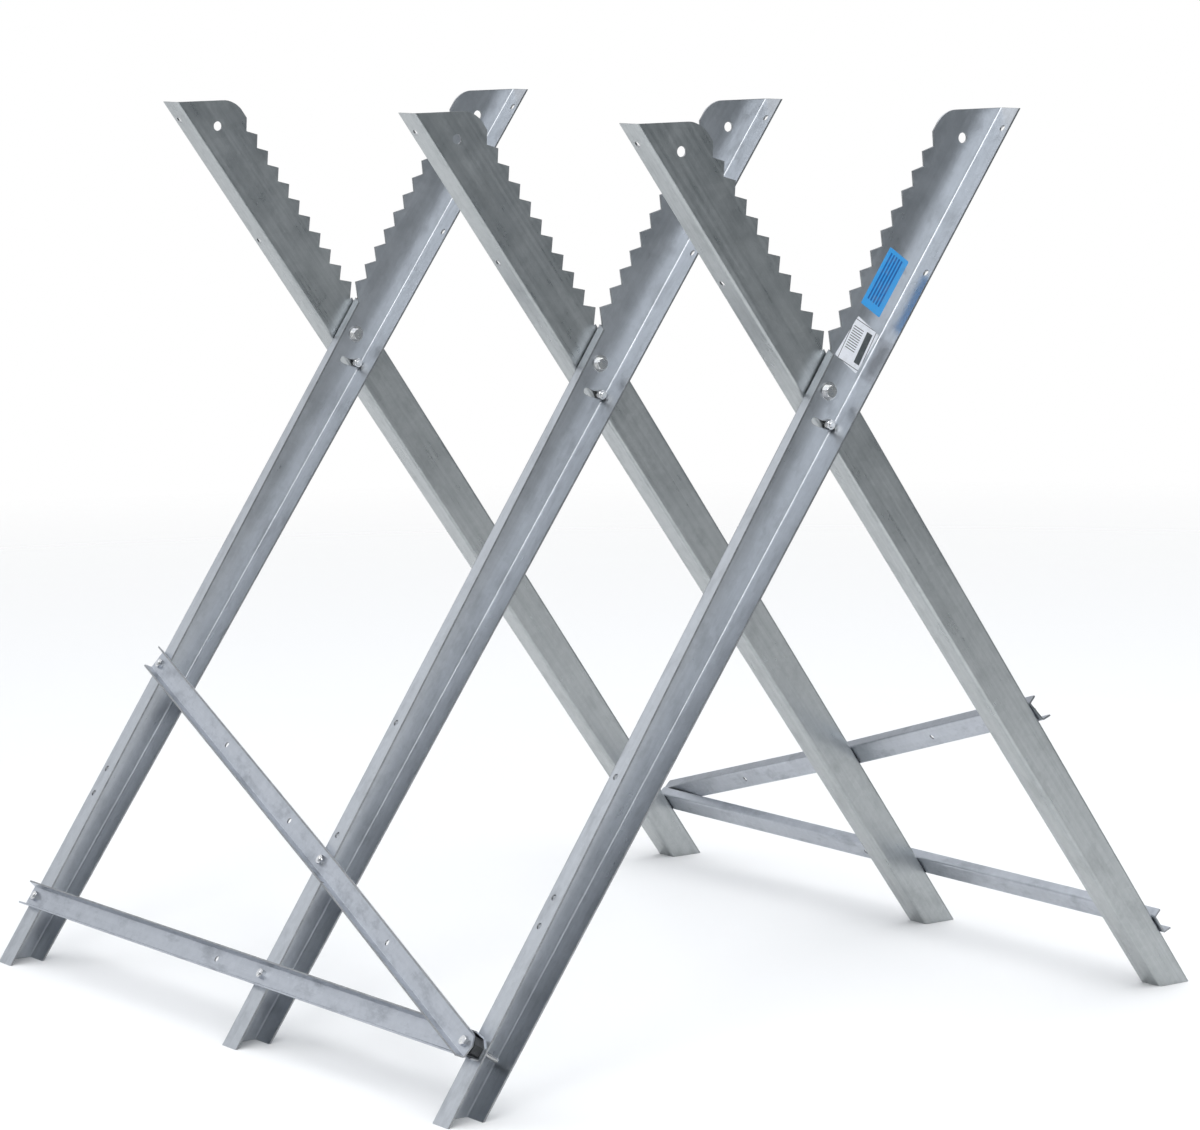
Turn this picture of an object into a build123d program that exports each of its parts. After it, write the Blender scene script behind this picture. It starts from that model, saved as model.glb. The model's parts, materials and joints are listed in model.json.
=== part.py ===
from build123d import *
import os
from math import cos, sin, tan, radians, hypot, degrees, atan2

# Folding log sawhorse in galvanised sheet steel. Millimetres, +Z up.
# X runs from the front legs' feet to the rear legs' feet, Y along the log.
# The origin is on the floor, under the middle of the standing sawhorse.

# ---- driving dimensions: stand ----
PIVOT_HEIGHT = 570.0
TOP_HEIGHT = 802.5
OPEN_ANGLE = 35.3            # each leg from the vertical, standing open
FOLD_HALF = 32.0             # how far each leg turns before its slot ends
STATIONS = {"near": -380.0, "middle": -40.0, "far": 380.0}
WEB_GAP = 1.2                # between the webs of two crossing legs
STOCK = 900.0                # each way from the pivot, before a leg is cut level

# ---- driving dimensions: leg ----
SHEET = 1.8
FULL_FLANGE_X = 22.8         # pivot axis to the outer face of the full-length flange
SHORT_FLANGE_X = 19.7        # pivot axis to the outer face of the short flange, level with the pivot
TAPER = 0.0187               # the short flange's slope: the web narrows towards the foot
FULL_FLANGE_DEPTH = 25.0
SHORT_FLANGE_DEPTH = 12.0    # level with the pivot; what the web loses below, this flange gains
THROAT_Z = 32.0              # top of the short flange, above the pivot
THROAT_FALL = 6.0            # the short flange's end slopes down by this from the web
BEND_OUTER = 2.8
BEND_INNER = 0.8
TOOTH_COUNT = 10
TOOTH_PITCH = 19.95
FIRST_TIP_Z = 42.4
TIP_X = 27.8                 # pivot axis to the line of the tips, level with the pivot
TIP_SLOPE = 0.010
HORN_ROUND = 24.0            # rounded upper corner of the jaw plate
JAW_HOLE_Z = 255.0
JAW_HOLE_R = 4.5
EDGE_HOLES_Z = (132.6, 279.2)
EDGE_HOLE_DEPTH = 17.0       # from the web's outer face
EDGE_HOLE_R = 2.75

# ---- driving dimensions: pivot and limit slot ----
BOLT_M6 = 6.0
PIVOT_HOLE_R = 3.08
PIVOT_WASHER_R = 8.0
PIVOT_WASHER_T = 1.6
SPACER_T = 0.9
SLOT_RADIUS = 28.4
SLOT_WIDTH = 6.0
RUNNING_GAP = 0.3

# ---- driving dimensions: braces ----
BRACE_SHEET = 1.5
BRACE_WEB = 20.0
BRACE_HEIGHT = 9.0
BRACE_SPLAY = 12.0
BRACE_BEND = 1.8
BRACE_END = 12.0             # from the end hole to the end of the brace
HOLE_DEPTH = 10.0            # brace holes from the plane between the webs
UPPER_HOLE = -381.0          # along the short flange, from level with the pivot
LOWER_HOLE = -633.0
SPARE_HOLE = 190.0           # spare holes of a diagonal brace, from each end hole
BRACE_HOLE_R = 2.7
CORNER_CUT = 8.0
KINK_BEYOND = 32.0           # the diagonal bends outwards this far past its middle bolt
NOTCH = 3.0
CROSSING_GAP = 0.2           # between the diagonal's web and the flange that it crosses

# ---- driving dimensions: corner spacer ----
SPACER_SINK = 0.8            # its top below the diagonal's web
SPACER_INSIDE = 18.0         # from the corner bolt towards the middle of the stand
SPACER_SIDE_GAP = 0.75
SPACER_END_GAP = 1.0
SPACER_ROUND = 2.5
SPACER_EDGE = 0.6

# ---- driving dimensions: fasteners ----
BOLT_M5 = 5.0
HEX_M6 = 10.0
HEX_M5 = 8.0
HEAD_M6 = 4.0
HEAD_M5 = 3.5
NUT_M5 = 4.0
LOCK_NUT_M6 = 6.0
COLLAR_R = 4.3               # round collar of a lock nut
THREAD_END = 1.2             # of a bolt past its nut
CORNER_BOLT_REACH = 22.0     # of the long corner bolt past the leg's short flange
PIVOT_HEAD_TURN = 15.0
BRACE_NUT_TURNS = (10, 35, 0, 20)

# ---- driving dimensions: labels ----
LABEL_T = 0.2
LABEL_ROUND = 1.0
WHITE_LABEL = {"x": 3.8, "z": 48.5, "width": 28.5, "height": 40.0, "turn": -4.0}
BLUE_LABEL = {"x": -1.2, "z": 108.0, "width": 24.0, "height": 56.0, "turn": 0.0}

ALPHA = radians(OPEN_ANGLE)
SIDE_TURN = {"front": 0.0, "rear": 180.0}


def level_z(height, x):
    """Height above the pivot, in the leg's own frame, of a level cut at a height above the floor."""
    return (height - PIVOT_HEIGHT + x * sin(ALPHA)) / cos(ALPHA)


def short_x(z):
    return -(SHORT_FLANGE_X + TAPER * z)


def tip_x(z):
    return -(TIP_X + TIP_SLOPE * z)


def short_depth(z):
    return SHORT_FLANGE_DEPTH - TAPER * z


def middle_hole(side):
    """Where the diagonal brace's line crosses the middle leg, for a side of the stand."""
    apex, middle, end = side_stations(side)
    share = (middle - apex) / (end - apex)
    return LOWER_HOLE + share * (UPPER_HOLE - LOWER_HOLE)


def side_stations(side):
    """Apex, middle and end stations along the side's own log axis, apex at the lowest."""
    turned = [y if side == "front" else -y for y in STATIONS.values()]
    return sorted(turned)


# ---- the leg, upright about its pivot, web's outer face at y = 0, channel open to -Y ----

FLANGE_TILT = degrees(atan2(TAPER, 1.0))
# Frame on the short flange's outer face: x towards the apex, y up along the flange, z outwards.
BRACE_FACE = Plane(
    origin=(-SHORT_FLANGE_X, -WEB_GAP / 2, 0),
    x_dir=(0, -1, 0),
    z_dir=(-cos(radians(FLANGE_TILT)), 0, -sin(radians(FLANGE_TILT))),
)
HOLE_IN_WEB = HOLE_DEPTH - WEB_GAP / 2


def plain_channel():
    """Straight tapered channel, longer than the leg at both ends, with its bends rounded."""
    low = -STOCK
    high = STOCK
    full = FULL_FLANGE_X
    short_low = short_x(low)
    short_high = short_x(high)
    web = [(full, low), (full, high), (short_high, high), (short_low, low)]
    full_side = [(full - SHEET, low), (full, low), (full, high), (full - SHEET, high)]
    short_side = [(short_low, low), (short_low + SHEET, low), (short_high + SHEET, high), (short_high, high)]
    channel_solid = extrude(Plane.XZ * Polygon(*web, align=None), SHEET)
    for side in (full_side, short_side):
        channel_solid += extrude(Plane.XZ * Polygon(*side, align=None), FULL_FLANGE_DEPTH)
    bends = (
        ((full, 0, 0), BEND_OUTER),
        ((full - SHEET, -SHEET, 0), BEND_INNER),
        ((short_x(0), 0, 0), BEND_OUTER),
        ((short_x(0) + SHEET, -SHEET, 0), BEND_INNER),
    )
    for point, radius in bends:
        channel_solid = fillet(nearest_edge(channel_solid, point), radius)
    return channel_solid


def short_flange_waste():
    """What the blank lacks: the short flange beyond its tapering depth, and all of it above the throat."""
    top = THROAT_Z - SHEET
    deep = 2 * FULL_FLANGE_DEPTH
    side = Polygon(
        (-short_depth(-STOCK), -STOCK),
        (-short_depth(top), top - THROAT_FALL),
        (0, top),
        (SHEET, top),
        (SHEET, STOCK),
        (-deep, STOCK),
        (-deep, -STOCK),
        align=None,
    )
    width = FULL_FLANGE_X + SHORT_FLANGE_X
    return Pos(-width / 2 - BEND_OUTER - SHEET, 0, 0) * extrude(Plane.YZ * side, width / 2, both=True)


def jaw_plate():
    """Flat plate above the throat: level top, rounded horn, a row of pointed teeth."""
    inside = FULL_FLANGE_X - BEND_OUTER - SHEET
    horn_z = level_z(TOP_HEIGHT, tip_x(FIRST_TIP_Z + (TOOTH_COUNT + 1) * TOOTH_PITCH))
    horn = (tip_x(horn_z), level_z(TOP_HEIGHT, tip_x(horn_z)))
    points = [(inside, THROAT_Z - 2 * SHEET), (inside, level_z(TOP_HEIGHT, inside)), horn]
    shoulder_z = FIRST_TIP_Z + TOOTH_COUNT * TOOTH_PITCH
    points.append((tip_x(shoulder_z), shoulder_z))
    for n in reversed(range(TOOTH_COUNT)):
        tip_z = FIRST_TIP_Z + n * TOOTH_PITCH
        valley_z = tip_z + TOOTH_PITCH / 2
        points.append((short_x(valley_z) + SHEET, valley_z))
        points.append((tip_x(tip_z), tip_z))
    points.append((short_x(THROAT_Z) + SHEET, THROAT_Z))
    points.append((short_x(THROAT_Z) + BEND_OUTER + SHEET, THROAT_Z - 2 * SHEET))
    outline = make_face(Polyline(points, close=True))
    corner = outline.vertices().sort_by_distance((horn[0], horn[1], 0))[0]
    return extrude(Plane.XZ * fillet(corner, HORN_ROUND), SHEET)


def level_slab():
    """The space between the floor and the top of the stand, seen from an upright leg."""
    middle = TOP_HEIGHT / 2 - PIVOT_HEIGHT
    return Rot(0, -OPEN_ANGLE, 0) * Pos(0, 0, middle) * Box(4 * STOCK, 4 * FULL_FLANGE_DEPTH, TOP_HEIGHT)


def nearest_edge(part, point):
    return part.edges().sort_by_distance(point)[0]


def leg_holes(side_holes):
    """Pivot hole, limit slot, jaw hole, edge holes and the brace holes."""
    holes = Part() + Pos(0, -SHEET / 2, 0) * Rot(90, 0, 0) * Cylinder(PIVOT_HOLE_R, 4 * SHEET)
    holes += Pos(0, -SHEET / 2, JAW_HOLE_Z) * Rot(90, 0, 0) * Cylinder(JAW_HOLE_R, 4 * SHEET)
    for z in EDGE_HOLES_Z:
        holes += Pos(FULL_FLANGE_X, -EDGE_HOLE_DEPTH, z) * Rot(0, 90, 0) * Cylinder(EDGE_HOLE_R, 4 * SHEET)
    slot_end = -90 + OPEN_ANGLE - FOLD_HALF
    centre_line = CenterArc((0, 0), SLOT_RADIUS, slot_end, FOLD_HALF)
    slot = SlotArc(centre_line, SLOT_WIDTH)
    holes += extrude(Plane.XZ * slot, 2 * SHEET, both=True)
    face = Pos(0, WEB_GAP / 2, 0) * BRACE_FACE.location
    for along in side_holes:
        holes += face * Pos(HOLE_IN_WEB, along, 0) * Cylinder(BRACE_HOLE_R, 4 * SHEET)
    return holes


def make_leg():
    leg = plain_channel() - short_flange_waste()
    leg = (leg + jaw_plate()) & level_slab()
    return leg - leg_holes((UPPER_HOLE, middle_hole("rear"), middle_hole("front"), LOWER_HOLE))


# ---- braces, in the frame of the short flange's outer face ----

def brace_profile():
    """Channel section: x across the brace, y outwards, flanges splayed."""
    half = BRACE_WEB / 2
    splay = radians(BRACE_SPLAY)
    tip = half + BRACE_HEIGHT * tan(splay)
    wall = BRACE_SHEET / cos(splay)
    root = half + BRACE_SHEET * tan(splay) - wall
    right = [(half, 0), (tip, BRACE_HEIGHT), (tip - wall, BRACE_HEIGHT), (root, BRACE_SHEET)]
    left = [(-x, y) for x, y in reversed(right)]
    section = make_face(Polyline(right + left, close=True))
    for x in (-half, half):
        section = fillet(section.vertices().sort_by_distance((x, 0, 0))[0], BRACE_BEND)
    for x in (-root, root):
        section = fillet(section.vertices().sort_by_distance((x, BRACE_SHEET, 0))[0], BRACE_BEND / 4)
    return section


def channel(length):
    """A straight run of brace from x = 0 to x = length, web on z = 0."""
    return extrude(Plane.YZ * brace_profile(), length)


def corner_cutter(end_x, side):
    """Takes the corner off a brace's end, on its upper (1) or lower (-1) edge."""
    edge = BRACE_WEB / 2
    far = 2 * BRACE_WEB
    shape = Polygon(
        (end_x - CORNER_CUT, side * edge),
        (end_x, side * (edge - CORNER_CUT)),
        (end_x + far, side * (edge - CORNER_CUT - far)),
        (end_x + far, side * far),
        (end_x - CORNER_CUT, side * far),
        align=None,
    )
    return extrude(shape, 3 * BRACE_WEB, both=True)


def brace_hole(x, z=0.0):
    return Pos(x, 0, z) * Cylinder(BRACE_HOLE_R, 4 * BRACE_SHEET)


def lower_brace(side):
    """Level brace: both spacings' holes from the apex, so it fits either side."""
    apex, middle, end = side_stations(side)
    length = end - apex
    near_gap = STATIONS["middle"] - STATIONS["near"]
    brace = Pos(-length - BRACE_END, 0, 0) * channel(length + 2 * BRACE_END)
    for from_apex in (0, near_gap, length - near_gap, length):
        brace -= brace_hole(-from_apex)
    brace -= corner_cutter(BRACE_END, 1)
    return apex_location(side) * brace


def apex_location(side):
    apex = side_stations(side)[0]
    return BRACE_FACE.location * Pos(-apex + HOLE_IN_WEB, LOWER_HOLE, 0)


def diagonal_frame(side):
    """Length between the end holes and slope of the diagonal brace on its face."""
    apex, middle, end = side_stations(side)
    rise = UPPER_HOLE - LOWER_HOLE
    return hypot(end - apex, rise), degrees(atan2(rise, end - apex))


def corner_lift(side):
    """Underside of the diagonal over the corner bolt, when it clears the lower brace's upper flange."""
    length, slope = diagonal_frame(side)
    kink = kink_distance(side)
    tip = BRACE_WEB / 2 + BRACE_HEIGHT * tan(radians(BRACE_SPLAY))
    crossing = (tip + BRACE_WEB / 2) / sin(radians(slope))
    return (BRACE_HEIGHT + CROSSING_GAP) * kink / (kink - crossing)


def kink_distance(side):
    """From the corner bolt to the bend, along the diagonal."""
    apex, middle, end = side_stations(side)
    slope = diagonal_frame(side)[1]
    return (middle - apex) / cos(radians(slope)) - KINK_BEYOND


def diagonal_brace(side):
    """Flat on the legs from its upper end to the middle, then bent out over the lower brace."""
    length, slope = diagonal_frame(side)
    kink = kink_distance(side)
    lift = corner_lift(side)
    spacing = (STATIONS["middle"] - STATIONS["near"]) / cos(radians(slope))
    bend = atan2(lift, kink)
    mitre = Plane(origin=(-kink, 0, 0), x_dir=(0, 1, 0), z_dir=(cos(bend / 2), 0, sin(bend / 2)))
    flat = Pos(-length - BRACE_END, 0, 0) * channel(length + BRACE_END)
    raised = Pos(-BRACE_END, 0, 0) * channel(kink + 2 * BRACE_END)
    raised = Pos(-kink, 0, 0) * Rot(0, -degrees(bend), 0) * raised
    brace = split(flat, bisect_by=mitre, keep=Keep.BOTTOM) + split(raised, bisect_by=mitre, keep=Keep.TOP)
    for from_apex in (0, SPARE_HOLE, spacing, length - spacing, length - SPARE_HOLE, length):
        brace -= brace_hole(-from_apex, lift * max(0.0, 1 - from_apex / kink))
    brace -= corner_cutter(BRACE_END, 1)
    notch = Polygon(
        (-kink - NOTCH, BRACE_HEIGHT + NOTCH / 2),
        (-kink, BRACE_HEIGHT - NOTCH),
        (-kink + NOTCH, BRACE_HEIGHT + NOTCH / 2),
        align=None,
    )
    brace -= Pos(0, -BRACE_WEB / 2, 0) * extrude(Plane.XZ * notch, BRACE_WEB / 2 - BRACE_SHEET, both=True)
    return apex_location(side) * Rot(0, 0, -slope) * brace


def corner_spacer(side):
    """Moulded block in the lower brace's channel, between its web and the diagonal's."""
    width = BRACE_WEB - 2 * (BRACE_SHEET + SPACER_SIDE_GAP)
    reach = BRACE_END - SPACER_END_GAP
    height = corner_lift(side) - BRACE_SHEET - SPACER_SINK
    block = Box(SPACER_INSIDE + reach, width, height, align=(Align.CENTER, Align.CENTER, Align.MIN))
    block = fillet(block.edges().filter_by(Axis.Z), SPACER_ROUND)
    block = Pos((reach - SPACER_INSIDE) / 2, 0, BRACE_SHEET) * block
    block -= Pos(-SPACER_END_GAP, -SPACER_END_GAP, 0) * corner_cutter(BRACE_END, 1)
    block = chamfer(block.faces().sort_by(Axis.Z)[-1].edges(), SPACER_EDGE)
    block -= Pos(0, 0, height / 2) * Cylinder(BRACE_HOLE_R, 3 * BRACE_HEIGHT)
    return apex_location(side) * block


# ---- fasteners, along +Z from the seat of the head ----

def hexagon(across_flats, height):
    """A hex head or nut with its outer corners turned off."""
    across_corners = across_flats / cos(radians(30))
    prism = extrude(RegularPolygon(across_corners / 2, 6), height)
    turned = Cylinder(across_corners / 2, height, align=(Align.CENTER, Align.CENTER, Align.MIN))
    turned = chamfer(turned.edges().sort_by(Axis.Z)[-1], (across_corners - across_flats) / 2)
    return prism & turned


def bolt(diameter, across_flats, head_height, length):
    """Head above z = 0, shank below it with a small chamfer at its end."""
    shank = Pos(0, 0, -length / 2) * Cylinder(diameter / 2, length)
    shank = chamfer(shank.edges().sort_by(Axis.Z)[0], diameter / 10)
    return hexagon(across_flats, head_height) + shank


def nut(across_flats, height, bore):
    return hexagon(across_flats, height) - Cylinder(bore / 2, 3 * height)


def lock_nut(across_flats, height, bore):
    """Hex body with a round collar on top."""
    body = hexagon(across_flats, height - SHEET)
    collar = Cylinder(COLLAR_R, height, align=(Align.CENTER, Align.CENTER, Align.MIN))
    collar = fillet(collar.edges().sort_by(Axis.Z)[-1], SHEET / 2)
    return body + collar - Cylinder(bore / 2, 3 * height)


def washer(outer_r, inner_r, thickness):
    return Cylinder(outer_r, thickness) - Cylinder(inner_r, 2 * thickness)


def facing_front(y):
    """On the log axis through a pivot: +Z of the fastener points to -Y."""
    return Pos(0, y, PIVOT_HEIGHT) * Rot(90, 0, 0)


def facing_back(y):
    return Pos(0, y, PIVOT_HEIGHT) * Rot(-90, 0, 0)


FLAT_TO_FLANGE = 30 - OPEN_ANGLE    # turns a hexagon's flat to the leg's full flange
WEB_FACE = WEB_GAP / 2 + SHEET      # from the middle plane to a web's inner face


def pivot_bolt(y):
    seat = WEB_FACE + PIVOT_WASHER_T
    length = seat + WEB_FACE + RUNNING_GAP + PIVOT_WASHER_T + LOCK_NUT_M6 + THREAD_END
    return facing_front(y - seat) * Rot(0, 0, PIVOT_HEAD_TURN) * bolt(BOLT_M6, HEX_M6, HEAD_M6, length)


def pivot_nut(y):
    seat = WEB_FACE + RUNNING_GAP + PIVOT_WASHER_T
    return facing_back(y + seat) * lock_nut(HEX_M6, LOCK_NUT_M6, BOLT_M6)


def pivot_washers():
    ring = washer(PIVOT_WASHER_R, BOLT_M6 / 2, PIVOT_WASHER_T)
    group = Part()
    for y in STATIONS.values():
        group += facing_front(y - WEB_FACE - PIVOT_WASHER_T / 2) * ring
        group += facing_front(y + WEB_FACE + RUNNING_GAP + PIVOT_WASHER_T / 2) * ring
    return group


def pivot_spacers():
    ring = washer(PIVOT_WASHER_R, BOLT_M6 / 2, SPACER_T)
    group = Part()
    for y in STATIONS.values():
        group += facing_front(y - WEB_GAP / 2 + SPACER_T / 2) * ring
    return group


def limit_screw(y):
    """Through both slots: head in the rear leg, thread out to the front."""
    seat = WEB_FACE + RUNNING_GAP
    length = 2 * seat + NUT_M5 + THREAD_END
    place = Pos(0, 0, -SLOT_RADIUS) * facing_back(y + seat) * Rot(0, 0, FLAT_TO_FLANGE)
    return place * bolt(BOLT_M5, HEX_M5, HEAD_M5, length)


def limit_nut(y):
    seat = WEB_FACE + RUNNING_GAP
    place = Pos(0, 0, -SLOT_RADIUS) * facing_front(y - seat) * Rot(0, 0, FLAT_TO_FLANGE)
    return place * nut(HEX_M5, NUT_M5, BOLT_M5)


def joint_places(side):
    """Station and place along the leg of each joint of one brace with one leg."""
    apex, middle, end = side_stations(side)
    return [(end, UPPER_HOLE), (middle, middle_hole(side)), (end, LOWER_HOLE), (middle, LOWER_HOLE)]


def brace_bolts(side):
    """Heads inside the leg's channel, ends out through the brace."""
    length = SHEET + BRACE_SHEET + NUT_M5 + THREAD_END
    group = Part()
    for station, along in joint_places(side):
        place = BRACE_FACE.location * Pos(-station + HOLE_IN_WEB, along, -SHEET) * Rot(180, 0, 0)
        group += place * bolt(BOLT_M5, HEX_M5, HEAD_M5, length)
    return group


def brace_nuts(side):
    group = Part()
    for (station, along), turn in zip(joint_places(side), BRACE_NUT_TURNS):
        place = BRACE_FACE.location * Pos(-station + HOLE_IN_WEB, along, BRACE_SHEET) * Rot(0, 0, turn)
        group += place * nut(HEX_M5, NUT_M5, BOLT_M5)
    return group


def corner_seat(side):
    """Outside of the diagonal's web over the corner bolt, at its highest under the head."""
    lift = corner_lift(side)
    return lift + BRACE_SHEET + HEX_M5 / 2 * lift / kink_distance(side)


def corner_bolt(side):
    length = corner_seat(side) + SHEET + CORNER_BOLT_REACH
    return apex_location(side) * Pos(0, 0, corner_seat(side)) * bolt(BOLT_M5, HEX_M5, HEAD_M5, length)


def corner_nut(side):
    return apex_location(side) * Pos(0, 0, -SHEET) * Rot(180, 0, 0) * nut(HEX_M5, NUT_M5, BOLT_M5)


# ---- labels, flat on the near front leg's web ----

def label(x, z, width, height, turn):
    """A thin rounded sheet; x and z on the upright leg, turned in its plane."""
    outline = Pos(x, z) * Rot(0, 0, turn) * RectangleRounded(width, height, LABEL_ROUND)
    return Pos(0, -SHEET, 0) * extrude(Plane.XZ * outline, LABEL_T)


# ---- assembly: every piece to its place ----

def stand_leg(solid):
    """Tilts an upright leg, pivot at the origin, to its place on the pivot axis."""
    return Pos(0, 0, PIVOT_HEIGHT) * Rot(0, OPEN_ANGLE, 0) * solid


def place_leg(solid, side, y):
    gap = Pos(0, -WEB_GAP / 2, 0)
    return Pos(0, y, 0) * Rot(0, 0, SIDE_TURN[side]) * stand_leg(gap * solid)


def place_on_side(solid, side):
    return Rot(0, 0, SIDE_TURN[side]) * stand_leg(solid)


def build_parts():
    parts = {}
    leg = make_leg()
    for side in ("front", "rear"):
        for name, y in STATIONS.items():
            parts[f"{side}_leg_{name}"] = place_leg(leg, side, y)
        parts[f"{side}_diagonal_brace"] = place_on_side(diagonal_brace(side), side)
        parts[f"{side}_lower_brace"] = place_on_side(lower_brace(side), side)
        parts[f"{side}_brace_bolts"] = place_on_side(brace_bolts(side), side)
        parts[f"{side}_brace_nuts"] = place_on_side(brace_nuts(side), side)
        parts[f"{side}_corner_bolt"] = place_on_side(corner_bolt(side), side)
        parts[f"{side}_corner_nut"] = place_on_side(corner_nut(side), side)
        parts[f"{side}_corner_spacer"] = place_on_side(corner_spacer(side), side)
    for name, y in STATIONS.items():
        parts[f"pivot_bolt_{name}"] = pivot_bolt(y)
        parts[f"pivot_nut_{name}"] = pivot_nut(y)
        parts[f"limit_screw_{name}"] = limit_screw(y)
        parts[f"limit_nut_{name}"] = limit_nut(y)
    parts["pivot_washers"] = pivot_washers()
    parts["pivot_spacers"] = pivot_spacers()
    near = STATIONS["near"]
    parts["white_label"] = place_leg(label(**WHITE_LABEL), "front", near)
    parts["blue_label"] = place_leg(label(**BLUE_LABEL), "front", near)
    return parts


os.makedirs("parts", exist_ok=True)
for node, solid in build_parts().items():
    export_step(solid, f"parts/{node}.step")
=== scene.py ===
import json
from math import atan2, cos, hypot, pi, radians, sin, sqrt, tan

import bmesh
import bpy
from mathutils import Matrix, Vector


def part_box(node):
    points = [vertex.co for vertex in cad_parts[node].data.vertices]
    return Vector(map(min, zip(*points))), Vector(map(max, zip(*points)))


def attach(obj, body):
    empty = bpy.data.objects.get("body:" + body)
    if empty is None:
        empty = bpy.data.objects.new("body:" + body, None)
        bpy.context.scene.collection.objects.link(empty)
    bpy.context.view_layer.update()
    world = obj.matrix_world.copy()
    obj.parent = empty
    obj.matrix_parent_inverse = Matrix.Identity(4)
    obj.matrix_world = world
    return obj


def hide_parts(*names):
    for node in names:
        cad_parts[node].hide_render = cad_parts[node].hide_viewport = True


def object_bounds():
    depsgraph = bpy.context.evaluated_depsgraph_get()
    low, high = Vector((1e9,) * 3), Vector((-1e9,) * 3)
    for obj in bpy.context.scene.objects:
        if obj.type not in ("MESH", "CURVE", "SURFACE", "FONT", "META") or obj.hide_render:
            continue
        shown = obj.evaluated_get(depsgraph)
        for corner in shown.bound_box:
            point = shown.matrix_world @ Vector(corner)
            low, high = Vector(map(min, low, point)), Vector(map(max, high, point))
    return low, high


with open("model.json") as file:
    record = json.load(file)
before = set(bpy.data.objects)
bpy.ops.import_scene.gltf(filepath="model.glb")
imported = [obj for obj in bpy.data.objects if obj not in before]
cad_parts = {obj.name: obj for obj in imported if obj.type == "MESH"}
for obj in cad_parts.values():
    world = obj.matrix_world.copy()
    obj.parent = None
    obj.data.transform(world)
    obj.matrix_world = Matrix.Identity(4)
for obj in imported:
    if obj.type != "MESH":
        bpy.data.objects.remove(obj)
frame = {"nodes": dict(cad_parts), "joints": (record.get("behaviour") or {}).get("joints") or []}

cad_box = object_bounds()
scene = bpy.context.scene

# Folding log sawhorse in galvanised sheet steel. Metres, +Z up, origin on the floor under its middle.
# X runs from the front legs' feet to the rear legs' feet, Y along the log.

MM = 0.001

# ---- sizes: stand ----
PIVOT = Vector(frame["joints"][0]["pos_m"])
LEG_TILT = radians(35.3)
TOP_HEIGHT = cad_box[1][2]
WEB_GAP = 1.2 * MM
STATION_NAMES = ("near", "middle", "far")


def station(name):
    """Place along the log of the plane between a station's two webs."""
    nut_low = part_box(f"limit_nut_{name}")[0]
    screw_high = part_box(f"limit_screw_{name}")[1]
    return (nut_low[1] + NUT_M5 + screw_high[1] - HEAD_M5) / 2


# ---- sizes: leg, upright about its pivot, web's outer face at y = 0, channel open to -Y ----
SHEET = 1.8 * MM
FULL_FLANGE_X = 22.8 * MM
SHORT_FLANGE_X = 19.7 * MM
TAPER = 0.0187
FULL_FLANGE_DEPTH = 25.0 * MM
SHORT_FLANGE_DEPTH = 12.0 * MM
THROAT_Z = 32.0 * MM
THROAT_FALL = 6.0 * MM
BEND_OUTER = 2.8 * MM
BEND_INNER = 1.5 * MM
LEG_LOW = -760.0 * MM
LEG_HIGH = 360.0 * MM
TOOTH_COUNT = 10
TOOTH_PITCH = 19.95 * MM
FIRST_TIP_Z = 42.4 * MM
TIP_X = 27.8 * MM
TIP_SLOPE = 0.010
HORN_ROUND = 24.0 * MM
JAW_HOLE_Z = 255.0 * MM
JAW_HOLE_R = 4.5 * MM
EDGE_HOLES_Z = (132.6 * MM, 279.2 * MM)
EDGE_HOLE_DEPTH = 17.0 * MM
EDGE_HOLE_R = 2.75 * MM
PIVOT_HOLE_R = 3.08 * MM
SLOT_RADIUS = 28.4 * MM
SLOT_WIDTH = 6.0 * MM
SLOT_TURN = radians(32.0)
HOLE_SEGMENTS = 40
PUNCHED_ROUND = 0.22 * MM
BEND_STEPS = 5
HORN_STEPS = 16
SLOT_STEPS = 16

# ---- sizes: braces, x along, y across, z outwards from the legs ----
BRACE_SHEET = 1.5 * MM
BRACE_WEB = 20.0 * MM
BRACE_HEIGHT = 9.0 * MM
BRACE_SPLAY = radians(12.0)
BRACE_BEND = 1.8 * MM
BRACE_END = 12.0 * MM
HOLE_IN_WEB = 10.0 * MM - WEB_GAP / 2
UPPER_HOLE = -381.0 * MM
LOWER_HOLE = -633.0 * MM
SPARE_HOLE = 190.0 * MM
BRACE_HOLE_R = 2.7 * MM
CORNER_CUT = 8.0 * MM
KINK_BEYOND = 32.0 * MM
NOTCH = 3.0 * MM
CROSSING_GAP = 0.2 * MM

# ---- sizes: labels ----
WHITE_LABEL_TURN = -4.0

# ---- sizes: fasteners ----
HEAD_EDGE_ROUND = 0.12 * MM
NUT_EDGE_ROUND = 0.10 * MM
WASHER_EDGE_ROUND = 0.32 * MM
NUT_FLARE = 0.5 * MM
FASTENER_EDGE_ANGLE = 20
RIM_SHARE = 0.9
TURNED_SEGMENTS = 48
WASHER_SEGMENTS = 56
THREAD_STEPS = 28
THREAD_DEPTH = 0.61
THREAD_PROFILE = (0.0, 0.14, 0.5, 0.64)
BOLT_M6 = 6.0 * MM
BOLT_M5 = 5.0 * MM
PITCH_M6 = 1.0 * MM
PITCH_M5 = 0.8 * MM
HEX_M6 = 10.0 * MM
HEX_M5 = 8.0 * MM
HEAD_M6 = 4.0 * MM
HEAD_M5 = 3.5 * MM
NUT_M5 = 4.0 * MM
LOCK_NUT_M6 = 6.0 * MM
COLLAR_R = 4.3 * MM
THREAD_END = 1.2 * MM
THREAD_LENGTH = 16.0 * MM
CORNER_BOLT_REACH = 22.0 * MM
WASHER_R = 8.0 * MM
WASHER_T = 1.6 * MM
SPACER_T = 0.9 * MM
RUNNING_GAP = 0.3 * MM
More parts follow.
